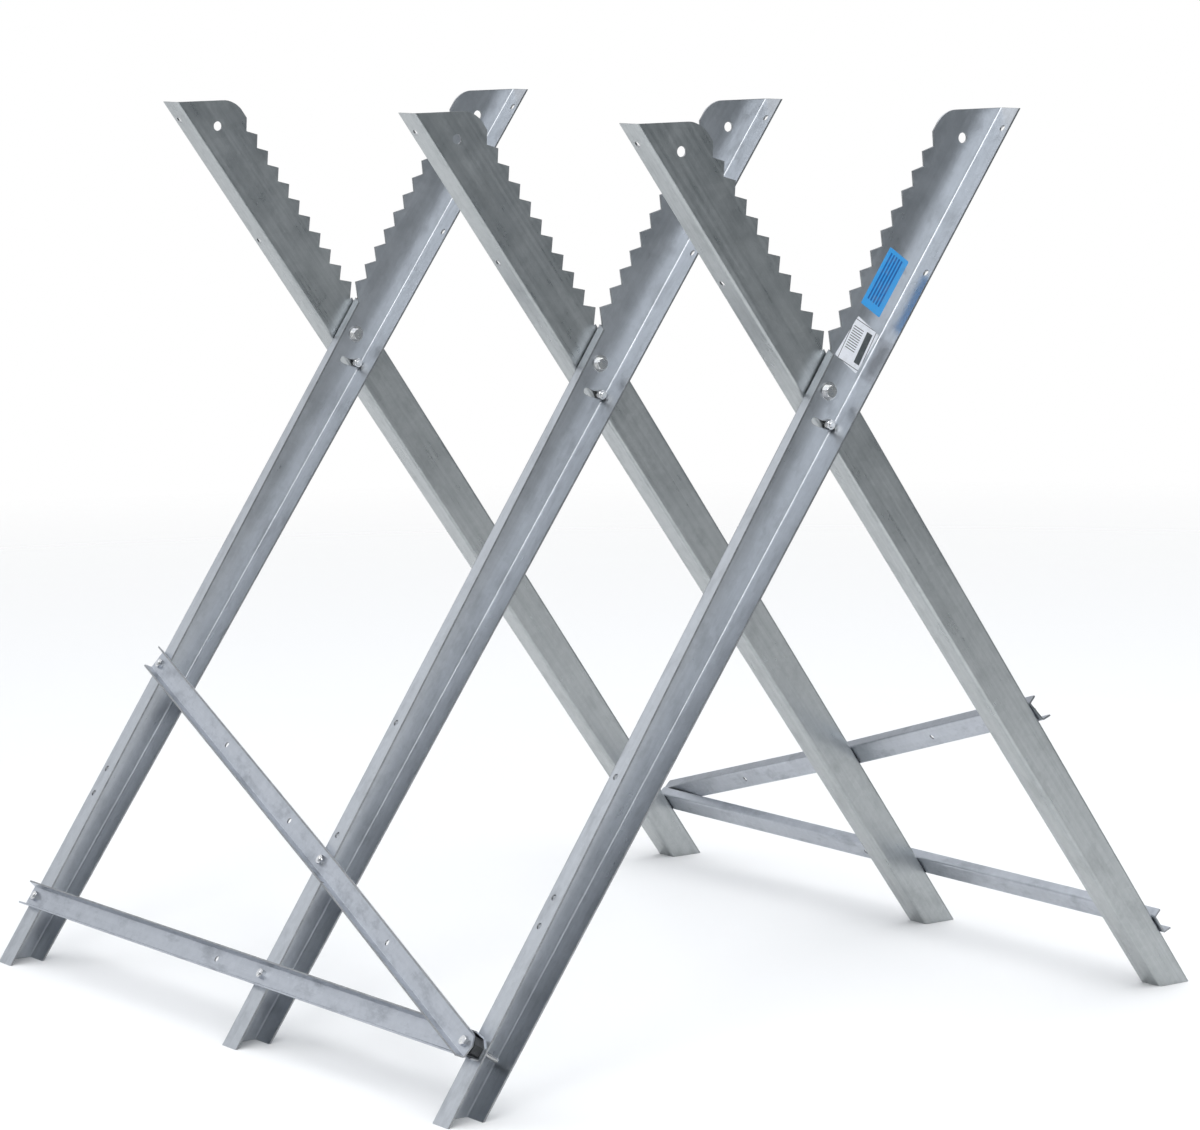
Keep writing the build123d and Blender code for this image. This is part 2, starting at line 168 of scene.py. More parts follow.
PIVOT_HEAD_TURN = radians(15.0)
BRACE_NUT_TURNS = (radians(10), radians(35), 0.0, radians(20))
WEB_FACE = WEB_GAP / 2 + SHEET

STATIONS = {name: station(name) for name in STATION_NAMES}


# ======== shared shapes ========

def as_mesh(name, bm):
    mesh = bpy.data.meshes.new(name)
    bm.to_mesh(mesh)
    bm.free()
    return mesh


def in_scene(name, data):
    thing = bpy.data.objects.new(name, data)
    scene.collection.objects.link(thing)
    return thing


def move(bm, place):
    bmesh.ops.transform(bm, matrix=place, verts=bm.verts)


def ruled_bar(rings):
    """A solid through rings of points, and its long edges by corner: each ring joins the next."""
    bm = bmesh.new()
    face = bm.faces.new([bm.verts.new(point) for point in rings[0]])
    columns = [[vert] for vert in face.verts]
    for step, points in enumerate(rings[1:]):
        inside = face
        grown = bmesh.ops.extrude_face_region(bm, geom=[face])["geom"]
        face = next(item for item in grown if isinstance(item, bmesh.types.BMFace))
        if step:
            bm.faces.remove(inside)
        fresh = list(face.verts)
        for column, point in zip(columns, points):
            vert = min(fresh, key=lambda v: (v.co - column[-1].co).length)
            fresh.remove(vert)
            column.append(vert)
        for column, point in zip(columns, points):
            column[-1].co = point
    edges = [[bm.edges.get(pair) for pair in zip(column, column[1:])] for column in columns]
    bmesh.ops.recalc_face_normals(bm, faces=bm.faces)
    return bm, edges


def rounded(bm, edges, radius, segments=8):
    bmesh.ops.bevel(
        bm, geom=edges, offset=radius, offset_type="OFFSET", segments=segments,
        profile=0.5, affect="EDGES", clamp_overlap=False, material=-1,
    )


def cut_away(bm, point, normal):
    """Takes off what lies beyond a plane and closes the cut as a bare cut face."""
    geom = bm.verts[:] + bm.edges[:] + bm.faces[:]
    cut = bmesh.ops.bisect_plane(
        bm, geom=geom, dist=1e-7, plane_co=point, plane_no=normal, clear_outer=True, clear_inner=False,
    )
    rim = [item for item in cut["geom_cut"] if isinstance(item, bmesh.types.BMEdge)]
    bmesh.ops.holes_fill(bm, edges=rim, sides=0)


def joined_with(base, tool, operation):
    """The boolean of two closed meshes; the tool's faces come out as bare cut faces."""
    for face in tool.faces:
        face.material_index = 1 if operation == "DIFFERENCE" else face.material_index
    blanks = []
    for bm in (base, tool):
        mesh = as_mesh("blank", bm)
        for material in (None, None):
            mesh.materials.append(material)
        blanks.append(in_scene("blank", mesh))
    change = blanks[0].modifiers.new("change", "BOOLEAN")
    change.operation = operation
    change.solver = "EXACT"
    change.object = blanks[1]
    result = bmesh.new()
    depsgraph = bpy.context.evaluated_depsgraph_get()
    result.from_mesh(bpy.data.meshes.new_from_object(blanks[0].evaluated_get(depsgraph)))
    for blank in blanks:
        bpy.data.objects.remove(blank)
    return result


def add_cylinder(bm, place, radius, depth, segments=HOLE_SEGMENTS):
    bmesh.ops.create_cone(
        bm, cap_ends=True, segments=segments, radius1=radius, radius2=radius, depth=depth, matrix=place,
    )


def cylinder(place, radius, depth, segments=HOLE_SEGMENTS):
    bm = bmesh.new()
    add_cylinder(bm, place, radius, depth, segments)
    return bm


def tidy_sheet(bm):
    """Merges what the cuts left in one plane."""
    bmesh.ops.remove_doubles(bm, verts=bm.verts, dist=1e-6)
    bmesh.ops.dissolve_limit(
        bm, angle_limit=radians(0.2), verts=bm.verts, edges=bm.edges, delimit={"NORMAL", "MATERIAL"},
    )


def sharp_edges(bm, angle):
    return [e for e in bm.edges if len(e.link_faces) == 2 and e.calc_face_angle(0) > angle]


def mark_cut_strips(bm, thickness):
    """The narrow faces along a sheet's outline are where the shear cut it."""
    sharp = set(sharp_edges(bm, radians(40)))
    for face in bm.faces:
        around = face.calc_perimeter()
        bare = sum(e.calc_length() for e in face.edges if e in sharp)
        if 2 * face.calc_area() / around < thickness * 1.02 and bare > 0.6 * around:
            face.material_index = 1


def break_edges(bm, radius, angle=40):
    """Rounds the punched edges a little, and leaves them bare."""
    bmesh.ops.bevel(
        bm, geom=sharp_edges(bm, radians(angle)), offset=radius, offset_type="OFFSET", segments=2,
        profile=0.5, affect="EDGES", clamp_overlap=True, material=1,
    )


def finished(name, bm, materials, body, nodes):
    """Makes a mesh a piece that rides on a body and stands for its CAD nodes."""
    mesh = as_mesh(name, bm)
    for material in materials:
        mesh.materials.append(material)
    for polygon in mesh.polygons:
        polygon.use_smooth = True
    mesh.set_sharp_from_angle(angle=radians(35))
    piece = in_scene(name, mesh)
    even = piece.modifiers.new("even_normals", "WEIGHTED_NORMAL")
    even.keep_sharp = True
    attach(piece, body)
    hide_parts(*nodes)
    return piece


def copied(bm, place):
    """A copy of a mesh, moved to its place."""
    copy = bm.copy()
    move(copy, place)
    return copy


def gathered(parts):
    """Several closed meshes as one."""
    whole = bmesh.new()
    for part in parts:
        mesh = as_mesh("part", part)
        whole.from_mesh(mesh)
        bpy.data.meshes.remove(mesh)
    return whole


# ======== places ========

SIDE_TURN = {"front": 0.0, "rear": pi}


def on_side(side, y=0.0):
    """From the upright leg's frame to the standing stand, for the legs of one side."""
    turn = Matrix.Rotation(SIDE_TURN[side], 4, "Z")
    lift = Matrix.Translation((0, 0, PIVOT.z))
    return Matrix.Translation((0, y, 0)) @ turn @ lift @ Matrix.Rotation(LEG_TILT, 4, "Y")


def level_z(height, x):
    """Height above the pivot, on the upright leg, of a level cut at a height above the floor."""
    return (height - PIVOT.z + x * sin(LEG_TILT)) / cos(LEG_TILT)


def short_x(z):
    return -(SHORT_FLANGE_X + TAPER * z)


def tip_x(z):
    return -(TIP_X + TIP_SLOPE * z)


def short_depth(z):
    return SHORT_FLANGE_DEPTH - TAPER * z


FLANGE_TILT = atan2(TAPER, 1.0)
# On the short flange's outer face: x towards the apex, y up along the flange, z outwards.
BRACE_FACE = Matrix.Translation((-SHORT_FLANGE_X, -WEB_GAP / 2, 0)) @ Matrix((
    (0, sin(-FLANGE_TILT), -cos(FLANGE_TILT), 0),
    (-1, 0, 0, 0),
    (0, cos(FLANGE_TILT), sin(-FLANGE_TILT), 0),
    (0, 0, 0, 1),
))


def side_stations(side):
    """Apex, middle and end stations along the side's own log axis, apex at the lowest."""
    return sorted(y if side == "front" else -y for y in STATIONS.values())


def middle_hole(side):
    apex, middle, end = side_stations(side)
    return LOWER_HOLE + (middle - apex) / (end - apex) * (UPPER_HOLE - LOWER_HOLE)


def apex_place(side):
    return BRACE_FACE @ Matrix.Translation((-side_stations(side)[0] + HOLE_IN_WEB, LOWER_HOLE, 0))


def diagonal_run(side):
    """Length between the end holes and slope of the diagonal brace on its face."""
    stations = side_stations(side)
    span = stations[2] - stations[0]
    rise = UPPER_HOLE - LOWER_HOLE
    return hypot(span, rise), atan2(rise, span)


def kink_distance(side):
    """From the corner bolt to the bend, along the diagonal."""
    stations = side_stations(side)
    return (stations[1] - stations[0]) / cos(diagonal_run(side)[1]) - KINK_BEYOND


def corner_lift(side):
    """Underside of the diagonal over the corner bolt, where it clears the lower brace."""
    slope = diagonal_run(side)[1]
    kink = kink_distance(side)
    tip = BRACE_WEB / 2 + BRACE_HEIGHT * tan(BRACE_SPLAY)
    crossing = (tip + BRACE_WEB / 2) / sin(slope)
    return (BRACE_HEIGHT + CROSSING_GAP) * kink / (kink - crossing)


# ======== legs ========

def leg_section(z):
    """The channel's sharp section at a height of the upright leg."""
    short = short_x(z)
    deep = -short_depth(z)
    full = FULL_FLANGE_X
    inner = full - SHEET
    outline = [(full, -FULL_FLANGE_DEPTH), (full, 0), (short, 0), (short, deep)]
    outline += [(short + SHEET, deep), (short + SHEET, -SHEET), (inner, -SHEET), (inner, -FULL_FLANGE_DEPTH)]
    return [Vector((x, y, z)) for x, y in outline]


def leg_channel():
    bm, edges = ruled_bar([leg_section(LEG_LOW), leg_section(LEG_HIGH)])
    rounded(bm, edges[1] + edges[2], BEND_OUTER)
    rounded(bm, edges[5] + edges[6], BEND_INNER, BEND_STEPS)
    return bm


def short_flange_waste():
    """The short flange and the web's edge above the throat, which the jaw plate takes the place of."""
    top = THROAT_Z - SHEET
    deep = 2 * FULL_FLANGE_DEPTH
    side = [(-short_depth(top) - SHEET, top - THROAT_FALL), (0, top), (SHEET, top)]
    side += [(SHEET, LEG_HIGH + SHEET), (-deep, LEG_HIGH + SHEET), (-deep, top - THROAT_FALL)]
    right = -BEND_OUTER - SHEET
    left = right - 2 * FULL_FLANGE_X
    return ruled_bar([[Vector((x, y, z)) for y, z in side] for x in (left, right)])[0]


def jaw_plate():
    """Flat plate above the throat: level top, rounded horn, a row of pointed teeth."""
    inside = FULL_FLANGE_X - BEND_OUTER - SHEET
    horn_z = level_z(TOP_HEIGHT, tip_x(FIRST_TIP_Z + (TOOTH_COUNT + 1) * TOOTH_PITCH))
    horn_x = tip_x(horn_z)
    shoulder_z = FIRST_TIP_Z + TOOTH_COUNT * TOOTH_PITCH
    outline = [(inside, THROAT_Z - 2 * SHEET), (inside, level_z(TOP_HEIGHT, inside))]
    outline += [(horn_x, level_z(TOP_HEIGHT, horn_x)), (tip_x(shoulder_z), shoulder_z)]
    for n in reversed(range(TOOTH_COUNT)):
        tip_z = FIRST_TIP_Z + n * TOOTH_PITCH
        valley_z = tip_z + TOOTH_PITCH / 2
        outline += [(short_x(valley_z) + SHEET, valley_z), (tip_x(tip_z), tip_z)]
    outline.append((short_x(THROAT_Z) + SHEET, THROAT_Z))
    outline.append((short_x(THROAT_Z) + BEND_OUTER + SHEET, THROAT_Z - 2 * SHEET))
    bm, edges = ruled_bar([[Vector((x, y, z)) for x, z in outline] for y in (0, -SHEET)])
    rounded(bm, edges[2], HORN_ROUND / tan((pi / 2 + LEG_TILT) / 2), HORN_STEPS)
    return bm


def arc(middle, radius, start, turn, skip=0):
    """Points along an arc, with or without its two ends."""
    angles = [start + turn * n / SLOT_STEPS for n in range(skip, SLOT_STEPS + 1 - skip)]
    return [(middle[0] + radius * cos(angle), middle[1] + radius * sin(angle)) for angle in angles]


def slot_outline():
    """The limit slot about the pivot: two arcs and two round ends."""
    start = -pi / 2 + LEG_TILT - SLOT_TURN
    end = start + SLOT_TURN
    half = SLOT_WIDTH / 2
    points = arc((0, 0), SLOT_RADIUS + half, start, SLOT_TURN)
    points += arc((SLOT_RADIUS * cos(end), SLOT_RADIUS * sin(end)), half, end, pi, 1)
    points += arc((0, 0), SLOT_RADIUS - half, end, -SLOT_TURN)
    points += arc((SLOT_RADIUS * cos(start), SLOT_RADIUS * sin(start)), half, start + pi, pi, 1)
    return points


def leg_holes():
    """Pivot hole, limit slot, jaw hole, edge holes and the brace holes, as solids to cut away."""
    through = Matrix.Rotation(pi / 2, 4, "X")
    slot = ruled_bar([[Vector((x, y, z)) for x, z in slot_outline()] for y in (2 * SHEET, -2 * SHEET)])[0]
    holes = cylinder(through, PIVOT_HOLE_R, 4 * SHEET)
    add_cylinder(holes, Matrix.Translation((0, 0, JAW_HOLE_Z)) @ through, JAW_HOLE_R, 4 * SHEET)
    sideways = Matrix.Rotation(pi / 2, 4, "Y")
    for z in EDGE_HOLES_Z:
        place = Matrix.Translation((FULL_FLANGE_X, -EDGE_HOLE_DEPTH, z))
        add_cylinder(holes, place @ sideways, EDGE_HOLE_R, 4 * SHEET)
    face = Matrix.Translation((0, WEB_GAP / 2, 0)) @ BRACE_FACE
    for along in (UPPER_HOLE, middle_hole("rear"), middle_hole("front"), LOWER_HOLE):
        add_cylinder(holes, face @ Matrix.Translation((HOLE_IN_WEB, along, 0)), BRACE_HOLE_R, 4 * SHEET)
    return gathered([holes, slot])


def make_leg():
    """One leg, upright about its pivot."""
    leg = joined_with(leg_channel(), short_flange_waste(), "DIFFERENCE")
    leg = joined_with(leg, jaw_plate(), "UNION")
    down = Vector((sin(LEG_TILT), 0, -cos(LEG_TILT)))
    cut_away(leg, down * PIVOT.z, down)
    cut_away(leg, -down * (TOP_HEIGHT - PIVOT.z), -down)
    leg = joined_with(leg, leg_holes(), "DIFFERENCE")
    tidy_sheet(leg)
    mark_cut_strips(leg, SHEET)
    break_edges(leg, PUNCHED_ROUND)
    for vert in leg.verts:
        vert.co.y = max(vert.co.y, -FULL_FLANGE_DEPTH)
    return leg


# ======== braces ========

def brace_section():
    """Channel section with splayed flanges: y across the brace, z outwards."""
    half = BRACE_WEB / 2
    tip = half + BRACE_HEIGHT * tan(BRACE_SPLAY)
    wall = BRACE_SHEET / cos(BRACE_SPLAY)
    root = half + BRACE_SHEET * tan(BRACE_SPLAY) - wall
    right = [(half, 0), (tip, BRACE_HEIGHT), (tip - wall, BRACE_HEIGHT), (root, BRACE_SHEET)]
    return right + [(-y, z) for y, z in reversed(right)]


def brace_bar(rings):
    bm, edges = ruled_bar(rings)
    rounded(bm, edges[0] + edges[7], BRACE_BEND)
    rounded(bm, edges[3] + edges[4], BRACE_BEND / 4, 4)
    return bm


def clip_corner(bm):
    cut_away(bm, Vector((BRACE_END - CORNER_CUT, BRACE_WEB / 2, 0)), Vector((1, 1, 0)).normalized())


def brace_holes(places):
    holes = bmesh.new()
    for x, z in places:
        add_cylinder(holes, Matrix.Translation((x, 0, z)), BRACE_HOLE_R, 6 * BRACE_SHEET)
    return holes


def finished_brace(bm):
    tidy_sheet(bm)
    mark_cut_strips(bm, BRACE_SHEET)
    break_edges(bm, PUNCHED_ROUND)
    return bm


def lower_brace(side):
    stations = side_stations(side)
    length = stations[2] - stations[0]
    near_gap = STATIONS["middle"] - STATIONS["near"]
    ends = (-length - BRACE_END, BRACE_END)
    bm = brace_bar([[Vector((x, y, z)) for y, z in brace_section()] for x in ends])
    clip_corner(bm)
    holes = brace_holes([(-from_apex, 0) for from_apex in (0, near_gap, length - near_gap, length)])
    bm = finished_brace(joined_with(bm, holes, "DIFFERENCE"))
    move(bm, on_side(side) @ apex_place(side))
    return bm


def diagonal_brace(side):
    """Flat on the legs from its upper end to the middle, then bent out over the lower brace."""
    length, slope = diagonal_run(side)
    kink = kink_distance(side)
    lift = corner_lift(side)
    bend = atan2(lift, kink)
    flat_end = [Vector((-length - BRACE_END, y, z)) for y, z in brace_section()]
    mitre = [Vector((-kink - z * tan(bend / 2), y, z)) for y, z in brace_section()]
    reach = kink + BRACE_END
    raised_end = []
    for y, z in brace_section():
        x = -kink + reach * cos(bend) - z * sin(bend)
        raised_end.append(Vector((x, y, reach * sin(bend) + z * cos(bend))))
    bm = brace_bar([flat_end, mitre, raised_end])
    clip_corner(bm)
    spacing = (STATIONS["middle"] - STATIONS["near"]) / cos(slope)
    along = (0, SPARE_HOLE, spacing, length - spacing, length - SPARE_HOLE, length)
    holes = brace_holes([(-far, lift * max(0.0, 1 - far / kink)) for far in along])
    notch = [(-kink - NOTCH, BRACE_HEIGHT + NOTCH / 2), (-kink, BRACE_HEIGHT - NOTCH)]
    notch.append((-kink + NOTCH, BRACE_HEIGHT + NOTCH / 2))
    edge = BRACE_WEB / 2
    notch_tool = ruled_bar([[Vector((x, y, z)) for x, z in notch] for y in (-edge * 2, -BRACE_SHEET * 2)])[0]
    bm = joined_with(bm, gathered([holes, notch_tool]), "DIFFERENCE")
    bm = finished_brace(bm)
    move(bm, on_side(side) @ apex_place(side) @ Matrix.Rotation(-slope, 4, "Z"))
    return bm


# ======== fasteners, along +Z from the seat of the head ========

def top_rim(bm, height):
    """The edges around the upper end of a shape of that height."""
    return [e for e in bm.edges if all(v.co.z > height * RIM_SHARE for v in e.verts)]


def hexagon(across_flats, height):
    """A hex head or nut with its outer corners turned off."""
    corner = across_flats / sqrt(3)
    place = Matrix.Translation((0, 0, height / 2))
    prism = cylinder(place, corner, height, 6)
    blank = cylinder(place, corner, height, TURNED_SEGMENTS)
    rounded(blank, top_rim(blank, height), corner - across_flats / 2, 1)
    return joined_with(prism, blank, "INTERSECT")


def threaded_rod(radius, pitch, length):
    """A rod down from z = 0 with one helical thread and a chamfered end."""
    root = radius - THREAD_DEPTH * pitch
    bm = bmesh.new()
    points = []
    turns = int(length / pitch) + 3
    for n in range(turns):
        z = -n * pitch + pitch
        profile = zip((radius, radius, root, root), THREAD_PROFILE)
        points += [(out, z - share * pitch) for out, share in profile]
    points.append((radius, -turns * pitch + pitch))
    verts = [bm.verts.new((x, 0, z)) for x, z in points]
    line = [bm.edges.new(pair) for pair in zip(verts, verts[1:])]
    bmesh.ops.spin(
        bm, geom=verts + line, cent=(0, 0, 0), axis=(0, 0, 1), dvec=(0, 0, -pitch / THREAD_STEPS),
        angle=2 * pi, steps=THREAD_STEPS, use_merge=False, use_duplicate=False,
    )
    bmesh.ops.remove_doubles(bm, verts=bm.verts, dist=1e-6)
    cut_away(bm, Vector((0, 0, 0)), Vector((0, 0, 1)))
    cut_away(bm, Vector((0, 0, -length)), Vector((0, 0, -1)))
    for vert in bm.verts:
        allowed = root + (vert.co.z + length)
        out = hypot(vert.co.x, vert.co.y)
        if out > allowed:
            vert.co.x *= allowed / out
            vert.co.y *= allowed / out
    bmesh.ops.recalc_face_normals(bm, faces=bm.faces)
    return bm


def bolt(diameter, pitch, across_flats, head_height, length):
    """Head above z = 0; below it a plain shank, then the thread."""
    head = hexagon(across_flats, head_height)
    break_edges(head, HEAD_EDGE_ROUND, FASTENER_EDGE_ANGLE)
    thread = min(length - SHEET, THREAD_LENGTH)
    plain = length - thread + pitch / 4
    shank = cylinder(Matrix.Translation((0, 0, -plain / 2)), diameter / 2, plain)
    rod = threaded_rod(diameter / 2, pitch, thread)
    bmesh.ops.translate(rod, vec=(0, 0, thread - length), verts=rod.verts)
    return gathered([head, shank, rod])


def nut(across_flats, height, bore):
    """Hex nut with a bore that flares at its outer mouth."""
    body = hexagon(across_flats, height)
    hole = cylinder(Matrix.Translation((0, 0, height / 2)), bore / 2, 3 * height)
    mouth = bmesh.new()
    bmesh.ops.create_cone(
        mouth, cap_ends=True, segments=HOLE_SEGMENTS, radius1=bore / 2 - NUT_FLARE,
        radius2=bore / 2 + NUT_FLARE, depth=2 * NUT_FLARE, matrix=Matrix.Translation((0, 0, height)),
    )
    body = joined_with(body, hole, "DIFFERENCE")
    body = joined_with(body, mouth, "DIFFERENCE")
    break_edges(body, NUT_EDGE_ROUND, FASTENER_EDGE_ANGLE)
    return body


def lock_nut():
    """Hex body with a round collar that grips the thread."""
    body = hexagon(HEX_M6, LOCK_NUT_M6 - SHEET)
    place = Matrix.Translation((0, 0, LOCK_NUT_M6 / 2))
    collar = cylinder(place, COLLAR_R, LOCK_NUT_M6, TURNED_SEGMENTS)
    rounded(collar, top_rim(collar, LOCK_NUT_M6), SHEET / 2, BEND_STEPS)
    hole = cylinder(Matrix.Identity(4), BOLT_M6 / 2, 4 * LOCK_NUT_M6)
    body = joined_with(joined_with(body, collar, "UNION"), hole, "DIFFERENCE")
    break_edges(body, NUT_EDGE_ROUND, FASTENER_EDGE_ANGLE)
    return body


def washer(thickness):
    """A stamped washer about z = 0."""
    ring = cylinder(Matrix.Identity(4), WASHER_R, thickness, WASHER_SEGMENTS)
    hole = cylinder(Matrix.Identity(4), BOLT_M6 / 2, 3 * thickness)
    ring = joined_with(ring, hole, "DIFFERENCE")
    break_edges(ring, WASHER_EDGE_ROUND)
    return ring


def facing(y, way, drop=0.0):
    """Level with the pivot or below it: +Z of the fastener points to -Y (-1) or +Y (1)."""
    return Matrix.Translation((0, y, PIVOT.z - drop)) @ Matrix.Rotation(-way * pi / 2, 4, "X")


def turned(angle):
    return Matrix.Rotation(angle, 4, "Z")


def joint_places(side):
    """Station and place along the leg of each joint of one brace with one leg."""
    middle, end = side_stations(side)[1:]
    return [(end, UPPER_HOLE), (middle, middle_hole(side)), (end, LOWER_HOLE), (middle, LOWER_HOLE)]


def on_brace_face(side, along_log, along_leg, out):
    place = Matrix.Translation((-along_log + HOLE_IN_WEB, along_leg, out))
    return on_side(side) @ BRACE_FACE @ place


def corner_seat(side):
    lift = corner_lift(side)
    return lift + BRACE_SHEET + HEX_M5 / 2 * lift / kink_distance(side)


# ======== materials ========

# Each noise: scale per metre, detail, roughness, and how much its place is stretched first.
CLOUDS = (24, 5, 0.62)
MOTTLE = (130, 3, 0.6)
FINE_LINES = (1.0, 3, 0.7, (2600, 2600, 14))
BROAD_LINES = (1.0, 2, 0.5, (260, 260, 3.0))
HAIRLINES = (1.0, 2, 0.5, (1500, 1500, 22))
HAIR_PLACES = (34, 2, 0.5)
SMEARS = (55, 4, 0.7, (1, 1, 0.45))
SLOW_WAVES = (17, 1, 0.4, (1, 1, 0.35))
PITS = (900, 3, 0.6)
CUT_GRAIN = (1400, 3, 0.6, (1, 0.12, 1))
CUT_PATCHES = (90, 3, 0.6)
PLATE_BLOOM = (240, 3, 0.6)
PLATE_FINE = (2600, 2, 0.6)
PLATE_SPOTS = (300, 3, 0.6)
MOULD_GRAIN = (1900, 3, 0.6)
MOULD_RUBS = (160, 4, 0.65)
PAPER_FIBRE = (700, 3, 0.6)
PAPER_DIRT = (120, 4, 0.65)
# What span of a noise runs from nothing to all.
NOISE_LOW = 0.3
NOISE_HIGH = 0.7
CLOUD_SPAN = (0.35, 0.65)
HAIR_SPAN = (0.69, 0.76)
HAIR_PLACES_SPAN = (0.52, 0.62)
SMEAR_SPAN = (0.52, 0.72)
SPOT_SPAN = (0.52, 0.75)
RUB_SPAN = (0.55, 0.75)
DIRT_SPAN = (0.50, 0.75)
CLOUD_DULLNESS = 0.6
MOTTLE_SHARE = 0.25
BROAD_SHARE = 0.55
CRYSTAL_SCALE = 210
CRYSTAL_WOBBLE_SCALE = 160
CRYSTAL_WOBBLE = 4.0 * MM
PIT_SHARE = 0.012
SCRATCH_LEANS = ((0.35, 0.2), (-0.55, 0.9))

# Each relief: a bump's strength and its depth in metres.
WAVE_RELIEF = (0.35, 0.0016)
LINE_RELIEF = (0.10, 0.00005)
SCRATCH_RELIEF = (0.25, -0.00004)
CUT_RELIEF = (0.3, 0.0001)
PLATE_RELIEF = (0.12, 0.00004)
MOULD_RELIEF = (0.25, 0.00006)
PAPER_RELIEF = (0.10, 0.00003)

CRYSTALS = 0.22
SMEAR_SHADE = 0.80
SCRATCH_LIFT = 1.22
ROUGH_BASE_DROP = 0.06
ROUGH_BY_DULLNESS = 0.14
ROUGH_BY_LINES = 0.07
ROUGH_BY_MARKS = 0.12


def add_node(tree, kind, **settings):
    node = tree.nodes.new(kind)
    for name, value in settings.items():
        setattr(node, name, value)
    return node


def calc(tree, operation, first, second=None, third=None, clamp=False):
    """A Math node's output; numbers are set, sockets are linked."""
    node = add_node(tree, "ShaderNodeMath", operation=operation, use_clamp=clamp)
    for socket, value in zip(node.inputs, (first, second, third)):
        if value is None:
            continue
        if isinstance(value, (int, float)):
            socket.default_value = value
        else:
            tree.links.new(value, socket)
    return node.outputs[0]


def mapped(tree, vector, how, value):
    """Coordinates, turned or stretched."""
    node = add_node(tree, "ShaderNodeMapping")
    node.inputs[how].default_value = value
    tree.links.new(vector, node.inputs["Vector"])
    return node.outputs["Vector"]


def noise(tree, vector, scale, detail, roughness, stretch=(1, 1, 1)):
    """Noise over coordinates that are first stretched."""
    spread = mapped(tree, vector, "Scale", stretch)
    node = add_node(tree, "ShaderNodeTexNoise")
    for name, number in (("Scale", scale), ("Detail", detail), ("Roughness", roughness)):
        node.inputs[name].default_value = number
    tree.links.new(spread, node.inputs["Vector"])
    return node.outputs["Fac"]


def spread_range(tree, value, low, high, to_low=0.0, to_high=1.0):
    node = add_node(tree, "ShaderNodeMapRange")
    for name, number in (("From Min", low), ("From Max", high), ("To Min", to_low), ("To Max", to_high)):
        node.inputs[name].default_value = number
    tree.links.new(value, node.inputs["Value"])
    return node.outputs["Result"]


def evened(tree, value, low=-1, high=1):
    """A noise's usual span, spread over another."""
    return spread_range(tree, value, NOISE_LOW, NOISE_HIGH, low, high)


def plus_share(tree, base, value, share):
    return calc(tree, "ADD", base, calc(tree, "MULTIPLY", value, share))


def feed(tree, shader, colour, rough, normal):
    for name, value in (("Base Color", colour), ("Roughness", rough), ("Normal", normal)):
        tree.links.new(value, shader.inputs[name])


def new_group(name, numbers, results):
    """A node group that takes a Place and some numbers, and its two ends."""
    group = bpy.data.node_groups.new(name, "ShaderNodeTree")
    group.interface.new_socket("Place", in_out="INPUT", socket_type="NodeSocketVector")
    for label, default in numbers.items():
        socket = group.interface.new_socket(label, in_out="INPUT", socket_type="NodeSocketFloat")
        socket.default_value = default
    for label in results:
        group.interface.new_socket(label, in_out="OUTPUT", socket_type="NodeSocketFloat")
    return group, add_node(group, "NodeGroupInput").outputs, add_node(group, "NodeGroupOutput").inputs


def zinc_bloom():
    """Cloudy patches and faint crystals of a zinc coat."""
    group, start, end = new_group("zinc_bloom", {"Patches": 0.5, "Crystals": 0.3}, ("Tone", "Dullness"))
    place = start["Place"]
    clouds = noise(group, place, *CLOUDS)
    fine = noise(group, place, *MOTTLE)
    crystal = add_node(group, "ShaderNodeTexVoronoi")
    crystal.inputs["Scale"].default_value = CRYSTAL_SCALE
    bent = add_node(group, "ShaderNodeVectorMath", operation="MULTIPLY_ADD")
    wobble = add_node(group, "ShaderNodeTexNoise")
    wobble.inputs["Scale"].default_value = CRYSTAL_WOBBLE_SCALE
    group.links.new(place, wobble.inputs["Vector"])
    group.links.new(wobble.outputs["Color"], bent.inputs[0])
    bent.inputs[1].default_value = (CRYSTAL_WOBBLE, CRYSTAL_WOBBLE, CRYSTAL_WOBBLE)
    group.links.new(place, bent.inputs[2])
    group.links.new(bent.outputs[0], crystal.inputs["Vector"])
    parts = add_node(group, "ShaderNodeSeparateColor")
    group.links.new(crystal.outputs["Color"], parts.inputs["Color"])
    patch = calc(group, "MULTIPLY", evened(group, clouds), 1 - MOTTLE_SHARE)
    patch = plus_share(group, patch, evened(group, fine), MOTTLE_SHARE)
    flake = calc(group, "SUBTRACT", calc(group, "MULTIPLY", parts.outputs["Red"], 2.0), 1.0)
    tone = plus_share(group, calc(group, "MULTIPLY", patch, start["Patches"]), flake, start["Crystals"])
    group.links.new(tone, end["Tone"])
    dull = calc(group, "MULTIPLY", parts.outputs["Green"], start["Crystals"])
    dull = plus_share(group, dull, spread_range(group, clouds, *CLOUD_SPAN), CLOUD_DULLNESS)
    group.links.new(dull, end["Dullness"])
    return group


def drawn_lines():
    """Fine and broad streaks that run along the sheet's rolling direction, Z of Place."""
    group, start, end = new_group("drawn_lines", {"Fineness": 1.0}, ("Streaks", "Relief"))
    place = start["Place"]
    fine = noise(group, place, *FINE_LINES)
    broad = noise(group, place, *BROAD_LINES)
    streaks = calc(group, "MULTIPLY", evened(group, fine), 1 - BROAD_SHARE)
    streaks = plus_share(group, streaks, evened(group, broad), BROAD_SHARE)
    group.links.new(calc(group, "MULTIPLY", streaks, start["Fineness"]), end["Streaks"])
    group.links.new(fine, end["Relief"])
    return group


